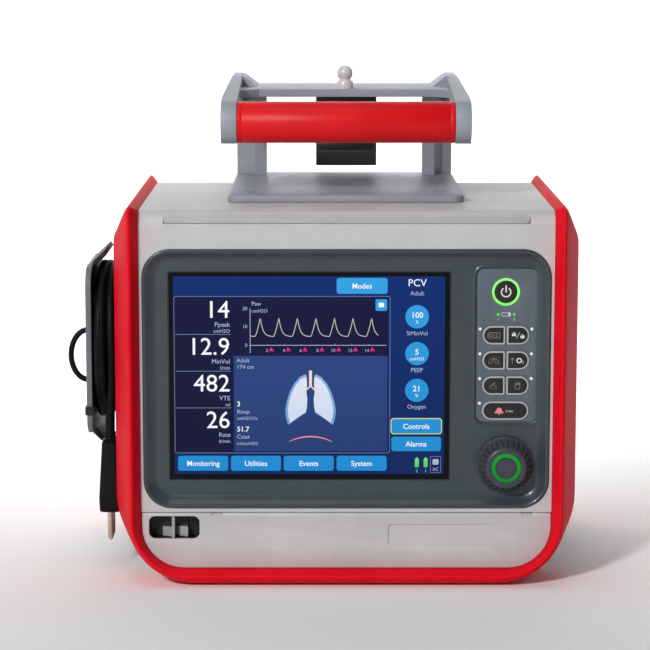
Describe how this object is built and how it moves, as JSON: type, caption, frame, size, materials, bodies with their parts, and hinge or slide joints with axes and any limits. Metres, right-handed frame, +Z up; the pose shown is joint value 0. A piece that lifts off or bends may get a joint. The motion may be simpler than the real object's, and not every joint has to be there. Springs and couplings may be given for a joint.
{
  "type": "mechanical ventilator",
  "caption": "Compact transport ventilator with touch screen, keypad, rotary knob, hinged battery door, carrying handle, protective bumper and wound mains lead.",
  "frame": {"origin": "centre of the base cover's underside, on the plane the unit stands on", "axes": "+X to the unit's right as its user sees it, +Y to the rear, +Z up; the screen faces -Y"},
  "size_m": [0.3242, 0.218, 0.3173],
  "materials": {
    "case_grey": "fine moulded grain",
    "dark_plastic": "moulded",
    "red_elastomer": "soft satin overmould",
    "bezel_grey": "satin paint",
    "lamp_lens": "frosted lens",
    "screen_glass": "coated touch glass, lit",
    "steel_sheet": "rolled",
    "keypad_grey": "membrane",
    "key_black": "membrane with pale rim",
    "green_light": "lit light guide",
    "knob_grey": "ribbed grip",
    "steel_pin": "turned",
    "battery_case": "moulded",
    "alu_sheet": "bent sheet",
    "board_green": "solder mask",
    "blower_alu": "cast",
    "white_plastic": "moulded",
    "lock_blue": "moulded",
    "filter_foam": "pleated fleece",
    "chrome_fitting": "plated brass",
    "cord_rubber": "cable sheath",
    "pin_brass": "nickel-washed",
    "holder_grey": "moulded",
    "handle_grey": "powder coat",
    "red_grip": "smooth sleeve",
    "hook_black": "moulded"
  },
  "bodies": {
    "case": {"front_housing": "case_grey", "rear_housing": "case_grey", "side_panel_left": "case_grey", "side_panel_right": "case_grey", "bottom_cover": "dark_plastic", "front_bumper": "red_elastomer", "rear_bumper": "red_elastomer", "bezel": "bezel_grey", "alarm_lamp": "lamp_lens", "touch_glass": "screen_glass", "display_module": "steel_sheet", "keypad_panel": "keypad_grey", "power_light_ring": "green_light", "encoder": "dark_plastic", "door_hinge_pins": "steel_pin", "battery_1": "battery_case", "battery_2": "battery_case", "chassis": "alu_sheet", "main_board": "board_green", "power_supply": "steel_sheet", "blower_housing": "blower_alu", "gas_mixer": "blower_alu", "oxygen_cell": "white_plastic", "fan_frame": "dark_plastic", "air_filter": "filter_foam", "filter_cover": "case_grey", "inspiratory_port": "white_plastic", "expiratory_valve": "white_plastic", "flow_sensor_ports": "white_plastic", "oxygen_inlet": "chrome_fitting", "ac_inlet": "dark_plastic", "ac_connector": "cord_rubber", "cord_coil": "cord_rubber", "cord_lead_in": "cord_rubber", "cord_lead_out": "cord_rubber", "plug_body": "cord_rubber", "plug_pins": "pin_brass", "cord_holder": "holder_grey", "retaining_loop": "cord_rubber", "handle_base_plate": "handle_grey", "handle_frame": "handle_grey", "handle_grip": "red_grip", "bed_rail_hook": "hook_black", "ball_stud": "white_plastic", "handle_screws": "steel_pin"},
    "power_button": {"power_button": "key_black"},
    "encoder_sleeve": {"encoder_sleeve": "steel_pin"},
    "knob": {"knob": "knob_grey"},
    "battery_door": {"battery_door": "case_grey"},
    "door_latch": {"door_latch": "case_grey"},
    "blower_impeller": {"blower_impeller": "blower_alu"},
    "fan_rotor": {"fan_rotor": "dark_plastic"},
    "expiratory_lock_ring": {"expiratory_lock_ring": "lock_blue"},
    "key_day_night": {"key_day_night": "key_black"},
    "key_screen_lock": {"key_screen_lock": "key_black"},
    "key_manual_breath": {"key_manual_breath": "key_black"},
    "key_oxygen_boost": {"key_oxygen_boost": "key_black"},
    "key_nebuliser": {"key_nebuliser": "key_black"},
    "key_suction": {"key_suction": "key_black"},
    "key_alarm_silence": {"key_alarm_silence": "key_black"}
  },
  "joints": [
    {"name": "power_press", "type": "slide", "parent": "case", "child": "power_button", "axis": [0, 1, 0], "range_m": [0, 0.0006], "stiffness_N_per_m": 900},
    {"name": "day_night_press", "type": "slide", "parent": "case", "child": "key_day_night", "axis": [0, 1, 0], "range_m": [0, 0.0005], "stiffness_N_per_m": 900},
    {"name": "screen_lock_press", "type": "slide", "parent": "case", "child": "key_screen_lock", "axis": [0, 1, 0], "range_m": [0, 0.0005], "stiffness_N_per_m": 900},
    {"name": "manual_breath_press", "type": "slide", "parent": "case", "child": "key_manual_breath", "axis": [0, 1, 0], "range_m": [0, 0.0005], "stiffness_N_per_m": 900},
    {"name": "oxygen_boost_press", "type": "slide", "parent": "case", "child": "key_oxygen_boost", "axis": [0, 1, 0], "range_m": [0, 0.0005], "stiffness_N_per_m": 900},
    {"name": "nebuliser_press", "type": "slide", "parent": "case", "child": "key_nebuliser", "axis": [0, 1, 0], "range_m": [0, 0.0005], "stiffness_N_per_m": 900},
    {"name": "suction_press", "type": "slide", "parent": "case", "child": "key_suction", "axis": [0, 1, 0], "range_m": [0, 0.0005], "stiffness_N_per_m": 900},
    {"name": "alarm_silence_press", "type": "slide", "parent": "case", "child": "key_alarm_silence", "axis": [0, 1, 0], "range_m": [0, 0.0005], "stiffness_N_per_m": 900},
    {"name": "knob_press", "type": "slide", "parent": "case", "child": "encoder_sleeve", "axis": [0, 1, 0], "range_m": [0, 0.0008], "stiffness_N_per_m": 1500},
    {"name": "knob_turn", "type": "hinge", "parent": "encoder_sleeve", "child": "knob", "pos_m": [0.0991, -0.095, 0.0758], "axis": [0, 1, 0], "continuous": true},
    {"name": "door_swing", "type": "hinge", "parent": "case", "child": "battery_door", "pos_m": [0, -0.0929, 0.04355], "axis": [-1, 0, 0], "range_deg": [0, 90]},
    {"name": "latch_slide", "type": "slide", "parent": "battery_door", "child": "door_latch", "axis": [1, 0, 0], "range_m": [0, 0.004], "stiffness_N_per_m": 300},
    {"name": "blower_spin", "type": "hinge", "parent": "case", "child": "blower_impeller", "pos_m": [0.034, 0.006, 0.08], "axis": [0, 0, 1], "continuous": true},
    {"name": "fan_spin", "type": "hinge", "parent": "case", "child": "fan_rotor", "pos_m": [-0.078, 0.08, 0.165], "axis": [0, 1, 0], "continuous": true},
    {"name": "expiratory_lock_turn", "type": "hinge", "parent": "case", "child": "expiratory_lock_ring", "pos_m": [0.135, -0.022, 0.092], "axis": [1, 0, 0], "range_deg": [0, 45]}
  ]
}
